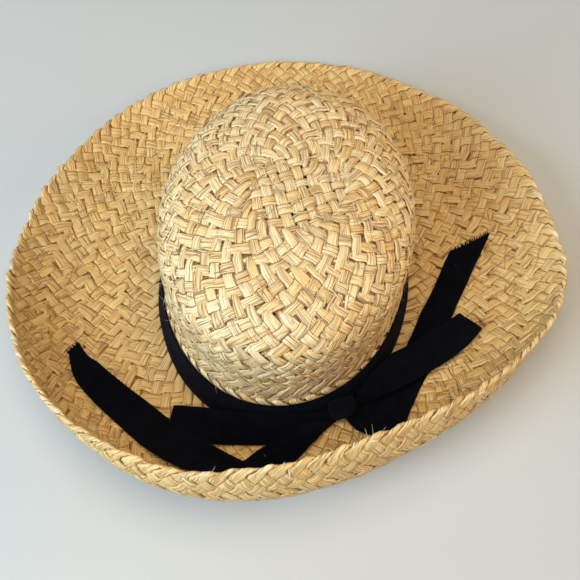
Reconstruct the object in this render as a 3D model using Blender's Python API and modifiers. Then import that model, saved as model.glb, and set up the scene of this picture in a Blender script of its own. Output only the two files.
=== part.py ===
"""Raffia sun hat: a plaited crown and an upturned brim, trimmed with a dark ribbon band and bow.

The hat rests crown up. The origin is the centre of the head opening, on the floor.
+Y runs towards the flat side of the brim, -Y towards the bow and the side that turns up most.
"""
import math

import bmesh
import bpy
from mathutils import Vector

MM = 0.001
MERGE = 0.00001

# Straw: one plait, sewn round and round, of an even thickness
WALL = 0.0025
HEAD_LONG = 0.1074
HEAD_SHORT = 0.0800
OVAL_TURN = math.radians(85.8)

CROWN_HEIGHT = 0.1073
CROWN_SEAT = WALL + 0.0010
CROWN_LEAN = (-0.0002, -0.0059)
CROWN_SEGMENTS = 60
# share of the height, share of the radius at the base
CROWN_PROFILE = (
    (0.00, 1.000),
    (0.06, 0.986),
    (0.15, 0.958),
    (0.28, 0.934),
    (0.42, 0.925),
    (0.56, 0.929),
    (0.68, 0.930),
    (0.77, 0.904),
    (0.85, 0.837),
    (0.915, 0.728),
    (0.960, 0.580),
    (0.986, 0.380),
    (0.997, 0.170),
    (1.000, 0.000),
)

# Brim: flat where it leaves the crown, then turned up by an amount that changes round the hat
BRIM_WIDTH = 0.1015
BRIM_OFFSET = (0.0045, -0.0080)
BRIM_FLAT = 0.004
BRIM_SEGMENTS = 72
BRIM_ROWS = 9
SLOPE_STEPS = 24
# slope of the rim in degrees and the power of the curl, every 30 degrees from +X
BRIM_TURN = (
    (56, 1.50),
    (40, 1.15),
    (13, 1.45),
    (3, 1.60),
    (14, 1.60),
    (28, 1.40),
    (37, 1.60),
    (77, 2.00),
    (105, 1.50),
    (112, 0.95),
    (110, 0.90),
    (99, 1.35),
)

# Ribbon: cut cloth strips
RIBBON = 0.001
BAND_LOW = 0.0040
BAND_HIGH = 0.0272
BAND_CLEAR = 0.0005
BAND_ROWS = 3
STRIP_ACROSS = 3
STRIP_STEPS = 2

# Each row of a strip joins its two edges: azimuth in degrees, distance out from the crown's foot
# along the brim and height above the brim's underside in millimetres, for one edge and the other.
LOOP_LEFT = (
    (287.6, 4.2, 18.0, 287.5, 5.2, 12.6),
    (284.0, 1.6, 20.2, 284.0, 5.6, 9.6),
    (278.8, -0.4, 21.5, 278.6, 8.4, 6.0),
    (271.4, -2.2, 23.0, 270.7, 9.9, 4.2),
    (260.2, -1.2, 19.5, 260.7, 14.1, 4.2),
    (249.1, 3.8, 14.0, 252.0, 22.5, 5.2),
    (241.7, 11.1, 8.8, 246.0, 30.1, 6.0),
    (238.9, 15.0, 7.0, 243.3, 33.4, 6.0),
    (238.2, 15.8, 5.3, 242.6, 34.2, 4.8),
    (239.3, 14.8, 3.7, 243.6, 32.8, 3.6),
    (244.0, 9.0, 5.2, 247.5, 25.5, 3.6),
    (252.5, 2.2, 11.0, 254.0, 14.0, 3.6),
    (262.0, -0.9, 16.0, 262.5, 5.4, 3.6),
    (272.0, -1.5, 18.0, 272.0, 3.4, 3.6),
    (280.0, -1.2, 18.0, 280.0, 3.0, 4.4),
    (287.6, 1.4, 17.4, 287.6, 2.2, 12.6),
)
TAIL_LEFT = (
    (287.6, 8.2, 13.0, 289.6, 6.4, 7.2),
    (282.6, 6.6, 18.6, 287.0, 8.0, 6.4),
    (278.6, 6.8, 19.4, 286.0, 8.8, 6.2),
    (273.8, 6.8, 16.0, 284.0, 10.2, 5.4),
    (269.0, 12.9, 9.6, 279.9, 16.2, 4.5),
    (265.5, 17.4, 5.4, 275.8, 24.7, 3.8),
    (262.2, 27.0, 4.1, 273.4, 30.5, 3.9),
    (257.6, 41.5, 4.0, 271.6, 36.0, 4.0),
    (255.8, 48.5, 4.1, 270.9, 38.6, 4.1),
    (255.4, 49.8, 5.0, 270.6, 39.8, 5.0),
    (254.9, 49.2, 6.0, 269.4, 37.4, 6.0),
    (253.4, 49.0, 6.1, 266.0, 32.0, 6.2),
    (252.0, 49.0, 6.0, 262.3, 27.6, 6.9),
    (249.8, 49.6, 5.6, 256.9, 24.6, 8.2),
    (246.6, 49.8, 5.2, 251.9, 23.6, 9.4),
    (243.6, 50.2, 4.8, 246.6, 24.3, 9.8),
    (240.2, 50.6, 4.3, 240.8, 25.5, 9.2),
    (233.2, 52.1, 4.0, 232.1, 27.1, 5.0),
    (227.3, 55.4, 4.0, 222.3, 35.0, 3.9),
    (221.1, 60.0, 4.0, 214.3, 44.0, 3.9),
    (215.5, 63.2, 3.9, 210.8, 50.0, 3.9),
    (208.8, 61.7, 3.9, 206.6, 53.9, 3.9),
)
LOOP_RIGHT = (
    (295.4, 4.2, 19.6, 295.4, 5.2, 14.4),
    (299.0, 2.6, 21.6, 299.0, 7.2, 13.6),
    (303.8, 1.4, 22.0, 302.5, 9.5, 12.8),
    (310.0, 0.9, 21.0, 307.5, 14.5, 11.5),
    (318.6, 2.6, 18.5, 314.6, 22.5, 10.5),
    (325.6, 8.3, 15.0, 323.1, 30.1, 9.0),
    (336.7, 19.6, 12.0, 329.4, 37.5, 8.2),
    (344.4, 30.3, 9.8, 337.1, 45.9, 7.4),
    (347.7, 34.7, 7.8, 343.1, 51.5, 7.0),
    (348.3, 35.4, 6.5, 343.8, 52.3, 6.1),
    (347.3, 34.0, 5.2, 342.8, 50.6, 5.2),
    (343.6, 28.8, 5.4, 336.4, 44.0, 5.4),
    (335.0, 17.5, 6.0, 328.6, 34.0, 5.4),
    (325.0, 6.4, 8.5, 321.6, 25.0, 5.6),
    (317.4, 1.4, 13.0, 314.5, 14.5, 7.6),
    (309.0, -0.3, 17.5, 307.6, 6.4, 10.6),
    (302.0, -0.7, 19.0, 301.4, 3.4, 12.6),
    (295.4, 1.4, 19.0, 295.4, 2.2, 14.2),
)
TAIL_RIGHT = (
    (295.4, 6.8, 10.0, 293.6, 5.6, 6.4),
    (299.0, 6.8, 9.2, 293.2, 9.0, 4.8),
    (303.0, 7.4, 8.0, 293.8, 14.2, 4.2),
    (306.4, 9.6, 7.0, 295.5, 23.3, 3.8),
    (307.9, 11.2, 6.2, 298.4, 32.0, 3.8),
    (309.2, 12.0, 5.6, 301.5, 37.5, 3.8),
    (311.2, 12.0, 5.0, 305.6, 39.5, 3.8),
    (314.2, 10.2, 4.2, 311.1, 33.6, 3.7),
    (319.8, 7.2, 3.6, 319.2, 28.7, 3.6),
    (327.6, 7.0, 3.6, 328.1, 28.2, 3.6),
    (336.6, 8.2, 3.6, 334.6, 28.4, 3.6),
    (345.9, 10.0, 3.6, 341.6, 28.8, 3.6),
    (354.6, 14.4, 3.6, 349.6, 31.6, 3.6),
    (2.6, 19.5, 3.6, 356.9, 35.9, 3.6),
    (9.7, 25.4, 3.6, 7.2, 45.8, 3.6),
    (14.2, 30.9, 3.6, 16.1, 58.3, 3.6),
)

# Knot: a small pillow of wound ribbon on the band
KNOT_PLACE = (291.5, 3.9, 16.0)
KNOT_HALF = Vector((0.0068, 0.0040, 0.0085))
KNOT_SQUARENESS = 0.62
KNOT_SIDES = 16
KNOT_RINGS = 9

STRAW_COLOR = (0.76, 0.58, 0.33, 1.0)
STRAW_ROUGHNESS = 0.75
RIBBON_COLOR = (0.012, 0.013, 0.022, 1.0)
RIBBON_ROUGHNESS = 0.9


def clear_scene():
    for item in list(bpy.data.objects):
        bpy.data.objects.remove(item, do_unlink=True)


def material(name, color, roughness):
    made = bpy.data.materials.new(name)
    made.use_nodes = True
    shader = made.node_tree.nodes["Principled BSDF"]
    shader.inputs["Base Color"].default_value = color
    shader.inputs["Roughness"].default_value = roughness
    shader.inputs["Metallic"].default_value = 0.0
    return made


def blend(before, start, end, after, share):
    """A smooth curve between start and end that also heeds the rows on either side."""
    drift = end - before
    bend = 2 * before - 5 * start + 4 * end - after
    turn = 3 * (start - end) + after - before
    return start + 0.5 * share * (drift + share * (bend + share * turn))


def round_the_hat(column, azimuth):
    """Value of a column of BRIM_TURN at an azimuth in radians."""
    count = len(BRIM_TURN)
    place = (azimuth / math.tau % 1.0) * count
    index = int(place)
    near = [BRIM_TURN[(index + shift) % count][column] for shift in (-1, 0, 1, 2)]
    return blend(*near, place - index)


def along(rows, steps):
    """Rows with smooth steps put in between."""
    last = len(rows) - 1
    finer = []
    for index in range(last):
        near = [rows[min(max(index + shift, 0), last)] for shift in (-1, 0, 1, 2)]
        for step in range(steps):
            finer.append(tuple(blend(*values, step / steps) for values in zip(*near)))
    finer.append(tuple(float(value) for value in rows[last]))
    return finer


def foot_radius(azimuth):
    """Radius of the crown's oval foot."""
    across = HEAD_SHORT * math.cos(azimuth - OVAL_TURN)
    length = HEAD_LONG * math.sin(azimuth - OVAL_TURN)
    return HEAD_LONG * HEAD_SHORT / math.hypot(across, length)


def crown_point(azimuth, share, radius_share, outwards=0.0):
    """Point of the crown's outer face, or one that lies outwards of it."""
    radius = foot_radius(azimuth) * radius_share + outwards
    x = radius * math.cos(azimuth) + CROWN_LEAN[0] * share
    y = radius * math.sin(azimuth) + CROWN_LEAN[1] * share
    return Vector((x, y, CROWN_HEIGHT * share))


def crown_radius_share(share):
    """Share of the radius at a share of the height, read from the profile."""
    for low, high in zip(CROWN_PROFILE, CROWN_PROFILE[1:]):
        if share <= high[0]:
            part = (share - low[0]) / (high[0] - low[0])
            return low[1] + (high[1] - low[1]) * part
    return 0.0


def brim_width(azimuth):
    """Width of the brim along the straw, a little more on one side as the brim is set off centre."""
    return BRIM_WIDTH + BRIM_OFFSET[0] * math.cos(azimuth) + BRIM_OFFSET[1] * math.sin(azimuth)


def brim_point(azimuth, out, lift=0.0):
    """Point of the brim's underside, out from the crown's foot along the straw, raised by lift."""
    rim_slope = math.radians(round_the_hat(0, azimuth))
    power = round_the_hat(1, azimuth)
    turning = brim_width(azimuth) - BRIM_FLAT

    def slope(distance):
        return rim_slope * max((distance - BRIM_FLAT) / turning, 0.0) ** power

    radius = foot_radius(azimuth)
    height = 0.0
    step = out / SLOPE_STEPS
    for index in range(SLOPE_STEPS):
        middle = slope((index + 0.5) * step)
        radius += math.cos(middle) * step
        height += math.sin(middle) * step
    end = slope(out)
    radius -= math.sin(end) * lift
    height += math.cos(end) * lift
    return Vector((radius * math.cos(azimuth), radius * math.sin(azimuth), height))


def loft(name, rows, closed):
    """Open surface through rows of points, each row a ring if closed."""
    shape = bmesh.new()
    verts = [[shape.verts.new(point) for point in row] for row in rows]
    count = len(rows[0])
    for low, high in zip(verts, verts[1:]):
        for index in range(count if closed else count - 1):
            after = (index + 1) % count
            shape.faces.new((low[index], low[after], high[after], high[index]))
    bmesh.ops.remove_doubles(shape, verts=shape.verts, dist=MERGE)
    mesh = bpy.data.meshes.new(name)
    shape.to_mesh(mesh)
    shape.free()
    mesh.shade_smooth()
    return bpy.data.objects.new(name, mesh)


def thicken(piece, thickness, offset, even=True):
    wall = piece.modifiers.new("wall", "SOLIDIFY")
    wall.thickness = thickness
    wall.offset = offset
    wall.use_even_offset = even
    wall.use_rim = True


def azimuths(count):
    return [math.tau * index / count for index in range(count)]


def make_crown():
    seat = CROWN_SEAT / CROWN_HEIGHT
    profile = [(seat, crown_radius_share(seat))] + list(CROWN_PROFILE[1:])
    rings = [[crown_point(a, share, radius) for a in azimuths(CROWN_SEGMENTS)]
             for share, radius in profile]
    crown = loft("crown", rings, closed=True)
    thicken(crown, WALL, offset=-1)
    return crown


def make_brim():
    """The underside, from under the crown's wall out to the rim, thickened upwards."""
    rings = []
    for row in range(-1, BRIM_ROWS + 1):
        ring = []
        for azimuth in azimuths(BRIM_SEGMENTS):
            turning = brim_width(azimuth) - BRIM_FLAT
            out = -WALL if row < 0 else BRIM_FLAT + turning * row / BRIM_ROWS
            ring.append(brim_point(azimuth, out))
        rings.append(ring)
    brim = loft("brim", rings, closed=True)
    thicken(brim, WALL, offset=-1)
    return brim


def make_band():
    """Ribbon round the foot of the crown, following its slope."""
    rings = []
    for row in range(BAND_ROWS + 1):
        height = BAND_LOW + (BAND_HIGH - BAND_LOW) * row / BAND_ROWS
        share = height / CROWN_HEIGHT
        radius = crown_radius_share(share)
        rings.append([crown_point(a, share, radius, outwards=BAND_CLEAR + RIBBON)
                      for a in azimuths(CROWN_SEGMENTS)])
    band = loft("hat_band", rings, closed=True)
    thicken(band, RIBBON, offset=-1)
    return band


def make_strip(name, table):
    """Ribbon that lies on the brim or stands over it, from its rows of edge points."""
    rows = []
    for edges in along(unwrapped(table), STRIP_STEPS):
        one_az, one_out, one_lift, two_az, two_out, two_lift = edges
        row = []
        for step in range(STRIP_ACROSS + 1):
            share = step / STRIP_ACROSS
            azimuth = math.radians(one_az + (two_az - one_az) * share)
            out = (one_out + (two_out - one_out) * share) * MM
            lift = (one_lift + (two_lift - one_lift) * share) * MM
            row.append(brim_point(azimuth, out, lift))
        rows.append(row)
    strip = loft(name, rows, closed=False)
    thicken(strip, RIBBON, offset=0, even=False)
    return strip


def unwrapped(table):
    """Azimuths past +X counted on from 360 degrees, so that a strip doesn't turn back."""
    return [tuple(value + 360 if place in (0, 3) and value < 180 else value
                  for place, value in enumerate(row)) for row in table]


def make_knot():
    """A sphere squared off into a pillow, turned to face out from the crown."""
    shape = bmesh.new()
    bmesh.ops.create_uvsphere(shape, u_segments=KNOT_SIDES, v_segments=KNOT_RINGS, radius=1.0)
    for vert in shape.verts:
        for axis in range(3):
            value = vert.co[axis]
            vert.co[axis] = math.copysign(abs(value) ** KNOT_SQUARENESS, value) * KNOT_HALF[axis]
    mesh = bpy.data.meshes.new("bow_knot")
    shape.to_mesh(mesh)
    shape.free()
    mesh.shade_smooth()
    knot = bpy.data.objects.new("bow_knot", mesh)
    azimuth, out, lift = KNOT_PLACE
    knot.location = brim_point(math.radians(azimuth), out * MM, lift * MM)
    knot.rotation_euler = (0.0, 0.0, math.radians(azimuth + 90))
    return knot


def main():
    clear_scene()
    hat = bpy.data.collections.new("raffia_sun_hat")
    bpy.context.scene.collection.children.link(hat)
    straw = (make_crown(), make_brim())
    ribbons = (
        make_band(),
        make_knot(),
        make_strip("bow_loop_left", LOOP_LEFT),
        make_strip("bow_loop_right", LOOP_RIGHT),
        make_strip("bow_tail_left", TAIL_LEFT),
        make_strip("bow_tail_right", TAIL_RIGHT),
    )
    for piece in straw:
        piece.data.materials.append(material(piece.name + "_raffia", STRAW_COLOR, STRAW_ROUGHNESS))
        hat.objects.link(piece)
    for piece in ribbons:
        piece.data.materials.append(material(piece.name + "_cloth", RIBBON_COLOR, RIBBON_ROUGHNESS))
        hat.objects.link(piece)


main()
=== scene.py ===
import math

import bmesh
import bpy
import numpy as np
from mathutils import Matrix, Vector


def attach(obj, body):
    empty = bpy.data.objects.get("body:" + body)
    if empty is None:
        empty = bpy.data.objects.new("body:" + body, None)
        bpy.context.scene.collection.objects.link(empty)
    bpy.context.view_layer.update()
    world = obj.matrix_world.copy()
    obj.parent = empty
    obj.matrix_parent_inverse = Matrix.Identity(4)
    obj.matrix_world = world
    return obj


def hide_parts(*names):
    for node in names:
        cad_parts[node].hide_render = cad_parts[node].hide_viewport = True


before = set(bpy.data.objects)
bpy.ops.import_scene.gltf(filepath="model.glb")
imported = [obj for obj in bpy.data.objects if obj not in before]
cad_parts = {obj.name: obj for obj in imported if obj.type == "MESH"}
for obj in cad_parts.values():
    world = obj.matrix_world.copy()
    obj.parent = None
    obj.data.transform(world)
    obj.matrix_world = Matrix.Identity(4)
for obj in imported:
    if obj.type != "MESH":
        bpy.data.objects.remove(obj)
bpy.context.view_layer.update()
MM = 0.001


# Crown
# A five-strand plait of raffia, coiled from the tip down to the head opening, its turns lapped and sewn.
# Each strand is a flat bundle of leaf fibres that goes over one, under one, and folds back at each edge.

HEAD_LONG = 107.4 * MM
HEAD_SHORT = 80.0 * MM
OVAL_TURN = math.radians(85.8)
CROWN_HEIGHT = 107.3 * MM
CROWN_LEAN = np.array((-0.2, -5.9)) * MM
CROWN_SEAT = 3.9 * MM
WALL = 2.5 * MM
# share of the height, share of the radius at the base
CROWN_PROFILE = (
    (0.00, 1.000),
    (0.06, 0.986),
    (0.15, 0.958),
    (0.28, 0.934),
    (0.42, 0.925),
    (0.56, 0.929),
    (0.68, 0.930),
    (0.77, 0.904),
    (0.85, 0.837),
    (0.915, 0.728),
    (0.960, 0.580),
    (0.986, 0.380),
    (0.997, 0.170),
    (1.000, 0.000),
)

STRANDS = 5
STRAND_WIDTH = 7.0 * MM
STRAND_THICKNESS = 1.25 * MM
STRAND_RISE = 0.68 * MM
FIBRE_RIDGE = 0.19 * MM
FLATNESS = 0.85
PINCH = 0.16
ROW_LAP = 3.0 * MM
SKEW = 1 / math.sqrt(2)
CELL = STRAND_WIDTH * SKEW
PLAIT_WIDTH = STRANDS * CELL
FOLD_STEP = 2 * CELL
ROW_PITCH = PLAIT_WIDTH - ROW_LAP


def foot_radius(azimuth):
    """Radius of the crown's oval foot."""
    across = HEAD_SHORT * np.cos(azimuth - OVAL_TURN)
    length = HEAD_LONG * np.sin(azimuth - OVAL_TURN)
    return HEAD_LONG * HEAD_SHORT / np.hypot(across, length)


def smooth_between(before, start, end, after, share):
    """Values a share of the way from start to end, on a smooth curve that heeds their neighbours."""
    bend = 2 * before - 5 * start + 4 * end - after
    turn = 3 * (start - end) + after - before
    return start + 0.5 * share * (end - before + share * (bend + share * turn))


def smooth_profile(steps=40):
    """The crown's profile from the tip down, as (share of the height, share of the radius)."""
    rows = np.array(CROWN_PROFILE[::-1])
    past_tip = rows[0] - (0, rows[1, 1])
    before = np.vstack((past_tip, rows[:-2]))[:, None]
    after = np.vstack((rows[2:], 2 * rows[-1] - rows[-2]))[:, None]
    share = np.linspace(0, 1, steps, endpoint=False)[None, :, None]
    curve = smooth_between(before, rows[:-1, None], rows[1:, None], after, share)
    return np.vstack((curve.reshape(-1, 2), rows[-1:]))


PROFILE = smooth_profile()
PROFILE[:, 1] = np.maximum(PROFILE[:, 1], 0)


def profile_lengths(radius):
    """Share of the way from the tip to the crown's seat at each profile point, and the whole way."""
    steps = np.hypot(np.diff(PROFILE[:, 0]) * CROWN_HEIGHT, np.diff(PROFILE[:, 1]) * radius)
    way = np.concatenate(([0], np.cumsum(steps)))
    seat = np.interp(-CROWN_SEAT / CROWN_HEIGHT, -PROFILE[:, 0], way)
    return way / seat, seat


LONG_WAY, LONG_LENGTH = profile_lengths(HEAD_LONG)
SHORT_WAY, SHORT_LENGTH = profile_lengths(HEAD_SHORT)
CROWN_WAY = (LONG_LENGTH + SHORT_LENGTH) / 2
# profile points on each side of a place, between which the crown's slope is taken
SLOPE_REACH = 8


def crown_point(azimuth, way, lift):
    """Points of the crown a way from the tip, raised by lift from the middle of its wall."""
    share = way / CROWN_WAY
    places = np.arange(len(PROFILE), dtype=float)
    foot = foot_radius(azimuth)
    long_share = (foot - HEAD_SHORT) / (HEAD_LONG - HEAD_SHORT)
    short_place = np.interp(share, SHORT_WAY, places)
    long_place = np.interp(share, LONG_WAY, places)
    place = short_place * (1 - long_share) + long_place * long_share

    def profile_at(step):
        """Shares of the height and of the radius, some profile points further down."""
        return [np.interp(place + step, places, column) for column in PROFILE.T]

    height, width = profile_at(0)
    upper_height, upper_width = profile_at(-SLOPE_REACH)
    lower_height, lower_width = profile_at(SLOPE_REACH)
    drop = (upper_height - lower_height) * CROWN_HEIGHT
    spread = (lower_width - upper_width) * foot
    size = np.hypot(drop, spread)
    size = np.where(size > 0, size, 1)
    outwards = lift - WALL / 2
    radius = width * foot + outwards * drop / size
    z = height * CROWN_HEIGHT + outwards * spread / size
    x = radius * np.cos(azimuth) + CROWN_LEAN[0] * height
    y = radius * np.sin(azimuth) + CROWN_LEAN[1] * height
    return np.stack((x, y, z), axis=-1)


# once round a strand's section: places across it, its upper or under side, its ridges, its half thickness
TOP = np.linspace(-1, 1, 7)
SECTION_X = np.concatenate((TOP, TOP[-2:0:-1]))
SECTION_SIDE = np.concatenate((np.ones(len(TOP)), -np.ones(len(TOP) - 2)))
SECTION_RIDGE = np.concatenate(((0, 1, -1, 1, -1, 1, 0), (1, -1, 1, -1, 1)))
LENS_POWER = 2.3
SECTION_LENS = np.sqrt(np.clip(1 - np.abs(SECTION_X) ** LENS_POWER, 0, 1)) * STRAND_THICKNESS / 2
# cells from the plait's edge at which a fold has its points
FOLD_POINTS = (0, 0.07, 0.3)
# cells from the edge within which a strand turns over, folds back, and settles into its run
TURN_REACH = 0.22
FOLD_REACH = 0.95
RUN_REACH = 0.8


def zigzag(strands):
    """One strand's way over the plait and back: cells across, cells along, and how high it lies.

    The height is from -1 under to 1 over, for each point of the strand's section: the strand dips
    along lines square to it, and turns over at the plait's edges.
    """
    inner = np.arange(3, 4 * strands - 2) / 4
    across = np.concatenate((FOLD_POINTS, inner, strands - np.array(FOLD_POINTS[:0:-1])))
    turn = np.clip(np.minimum(across, strands - across) / TURN_REACH, 0, 1)
    turn = np.sqrt(1 - (1 - turn) ** 2)[:, None]
    ahead = across[:, None] + SECTION_X / 2
    up = -np.cos(np.pi * np.clip(ahead, 1, strands - 1))
    down = np.cos(np.pi * np.clip(strands - ahead, 1, strands - 1))
    level = np.tanh(FLATNESS * np.concatenate((up * turn, down * turn))) / math.tanh(FLATNESS)
    return np.concatenate((across, strands - across)), np.concatenate((across, strands + across)), level


# the shortest and the longest wave of uneven straw and cloth, in millimetres
WAVE_PITCH = (18, 60)


def smooth_noise(chance, waves, first, second):
    """Gentle unevenness over two coordinates in metres, about -1 to 1."""
    total = 0
    for _ in range(waves):
        pitch = chance.uniform(*WAVE_PITCH) * MM
        heading = chance.uniform(0, math.tau)
        along = first * math.cos(heading) + second * math.sin(heading)
        total = total + np.sin(math.tau * along / pitch + chance.uniform(0, math.tau))
    return total / math.sqrt(waves)


def mark(mesh, name, values, vector=False):
    """Gives each point of a mesh a value that its material reads by name."""
    made = mesh.attributes.new(name, "FLOAT_VECTOR" if vector else "FLOAT", "POINT")
    made.data.foreach_set("vector" if vector else "value", values.astype(np.float32).ravel())


def strand_mesh(name, points, quads, caps, strand, tone, depth):
    """One mesh of closed flat tubes, with what the raffia material needs to know at each point."""
    mesh = bpy.data.meshes.new(name)
    flat = points.reshape(-1, 3)
    mesh.vertices.add(len(flat))
    mesh.vertices.foreach_set("co", flat.astype(np.float32).ravel())
    corners = np.concatenate((quads.ravel(), caps.ravel()))
    mesh.loops.add(len(corners))
    mesh.loops.foreach_set("vertex_index", corners.astype(np.int32))
    sizes = np.concatenate((np.full(len(quads), 4), np.full(len(caps), len(SECTION_X))))
    starts = np.concatenate(([0], np.cumsum(sizes)[:-1]))
    mesh.polygons.add(len(sizes))
    mesh.polygons.foreach_set("loop_start", starts.astype(np.int32))
    mesh.update(calc_edges=True)
    mesh.validate()
    mesh.shade_smooth()
    mark(mesh, "strand", strand, vector=True)
    mark(mesh, "tone", tone)
    mark(mesh, "depth", depth)
    return mesh


FOLD_BULGE = 1.0 * MM
FOLD_TAPER = 0.40
TWIST_POWER = 0.7
# how much the outer folds narrow, thicken, take a painted highlight and twist along the plait
SEWN_FOLDS = (FOLD_TAPER, 0.3, 0.0, 0.0)
# how uneven the strands are, at each crossing and over a whole run from edge to edge: as a share of
# the width, and in millimetres along the plait and up and down
UNEVEN_WIDTH = ((-0.20, 0.04), (-0.10, 0.04))
UNEVEN_SHIFT = ((-0.50, 0.50), (-0.40, 0.40))
UNEVEN_LEAN = ((-0.26, 0.26), (-0.16, 0.16))
# shares of the thickness at each crossing and of the ridges over a run, millimetres that a fold stands
# up or down, and the share of its painted highlight
UNEVEN_THICKNESS = (-0.25, 0.20)
UNEVEN_RIDGE = (-0.8, 0.8)
UNEVEN_FOLD = (-0.45, 0.45)
UNEVEN_RIM_HIGHLIGHT = (0.6, 1.0)
# steps from strand to strand, and from a strand's upper side to its lower, in the fibres' pattern
STRAND_SHIFT = (37.0, 1.7)
SIDE_SHIFT = 0.2


def plait_mesh(name, count, place, strands, seed, ring, fullness, outer, units):
    """A plait of strands laid by place(along, across, lift), in metres, as one mesh of flat tubes.

    outer describes the outer folds, as SEWN_FOLDS does, and units is the share of the plait to make.
    """
    chance = np.random.default_rng(seed)
    outer_taper, outer_swell, outer_highlight, outer_twist = outer
    over, along, level = zigzag(strands)
    rows = len(over)
    run = np.arange(rows) // (rows // 2)
    from_edge = np.minimum(over, strands - over)
    outer_half = over > strands / 2
    inside = np.clip(from_edge / RUN_REACH, 0, 1)
    cell = np.minimum(over.astype(int), strands - 1)
    unit = np.arange(count)

    def wander(low, high):
        """An uneven value along each strand, that changes from crossing to crossing."""
        knots = chance.uniform(low, high, (count, 2, strands + 1))
        start, end = knots[:, run, cell], knots[:, run, cell + 1]
        return (start + (end - start) * (over - cell)) * inside

    def per_run(low, high):
        """An uneven value for each run of a strand from edge to edge."""
        return chance.uniform(low, high, (count, 2))[:, run] * inside

    pinched = 1 - PINCH * (1 - level[:, len(TOP) // 2] ** 2) * inside
    width = (fullness + wander(*UNEVEN_WIDTH[0]) + per_run(*UNEVEN_WIDTH[1])) * pinched
    shift = (wander(*UNEVEN_SHIFT[0]) + per_run(*UNEVEN_SHIFT[1])) * MM
    lean = (wander(*UNEVEN_LEAN[0]) + per_run(*UNEVEN_LEAN[1])) * MM
    swell = 1.0 + wander(*UNEVEN_THICKNESS)
    ridge = 1.0 + per_run(*UNEVEN_RIDGE)
    path_v = over[:, None] * CELL
    path_z = level * STRAND_RISE
    step_v = np.roll(path_v, -1, axis=0) - np.roll(path_v, 1, axis=0)
    step_z = np.roll(path_z, -1, axis=0) - np.roll(path_z, 1, axis=0)
    size = np.hypot(step_v, step_z)
    normal_v, normal_z = -step_z / size, step_v / size
    edge = 1 - np.clip(from_edge / FOLD_REACH, 0, 1)
    outwards = np.where(outer_half, 1, -1) * edge**3 * FOLD_BULGE
    taper = np.where(outer_half, outer_taper, FOLD_TAPER) * edge
    fold_lift = chance.uniform(*UNEVEN_FOLD, (count, 2))[:, outer_half.astype(int)] * edge * MM

    x = SECTION_X[None, None, :]
    thick = swell + np.where(outer_half, outer_swell, SEWN_FOLDS[1]) * edge**2
    bulge = (SECTION_LENS * SECTION_SIDE)[None, None] * thick[..., None]
    bulge = bulge + (SECTION_RIDGE * SECTION_SIDE)[None, None] * FIBRE_RIDGE * ridge[..., None]
    u = unit[:, None, None] * FOLD_STEP + (along * CELL)[None, :, None] + shift[..., None]
    wrap = np.sin(np.clip(from_edge / TURN_REACH, 0, 1) * np.pi / 2) * edge**TWIST_POWER * (2 * run - 1)
    twist = outer_twist * np.where(outer_half, wrap, 0)
    u = u + x * CELL * (width * (1 - taper))[..., None] + twist[None, :, None]
    v = path_v[None] + outwards[None, :, None] * (1 - x * x) + normal_v[None] * bulge
    z = path_z[None] + normal_z[None] * bulge + lean[..., None] * x + fold_lift[..., None]
    points = place(u, v, z)

    kept = slice(*(round(share * count) for share in units))
    points = points[kept]
    corner = np.arange(points[..., 0].size).reshape(len(points), rows, -1)
    following = np.roll(corner[:, 0], -strands, axis=0)
    after = np.concatenate((corner[:, 1:], following[:, None]), axis=1)
    quads = np.stack((corner, np.roll(corner, -1, axis=2), np.roll(after, -1, axis=2), after), axis=-1)
    keep = np.ones(quads.shape[:3], bool)
    caps = np.empty((0, len(SECTION_X)), int)
    if not ring:
        keep[-strands:, -1] = False
        caps = np.concatenate((corner[:strands, 0], corner[-strands:, -1, ::-1]))

    whole = np.zeros(u.shape)
    strand = np.stack((
        whole + (along * CELL)[None, :, None] / MM + unit[:, None, None] * STRAND_SHIFT[0],
        whole + x,
        whole + unit[:, None, None] * STRAND_SHIFT[1] + SECTION_SIDE * SIDE_SHIFT,
    ), axis=-1)
    # Painted highlight: the rim's outer folds turn paler towards the edge, by a share drawn for each strand;
    # other rows take none.
    bleach_and_rim_highlight = chance.uniform(*UNEVEN_RIM_HIGHLIGHT, (count, 1)) * outer_highlight * np.where(outer_half, edge, 0)
    tone = whole + (chance.uniform(0, 1, (count, 2))[:, run] * (1 - bleach_and_rim_highlight) - bleach_and_rim_highlight)[..., None]
    # How low each point lies in the weave; the material darkens the low points as painted shade.
    depth = whole + level * SECTION_SIDE * (1 - 2 * run[:, None]) * 0.5 + 0.5
    return strand_mesh(name, points, quads[keep], caps, strand[kept], tone[kept], depth[kept])


def show(name, mesh, material, replaced=()):
    """Puts a piece in the scene, on the hat's only body."""
    piece = bpy.data.objects.new(name, mesh)
    bpy.context.scene.collection.objects.link(piece)
    piece.data.materials.append(material)
    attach(piece, "root")
    if replaced:
        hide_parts(*replaced)
    return piece


def link(tree, source, target):
    tree.links.new(source, target)


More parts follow.
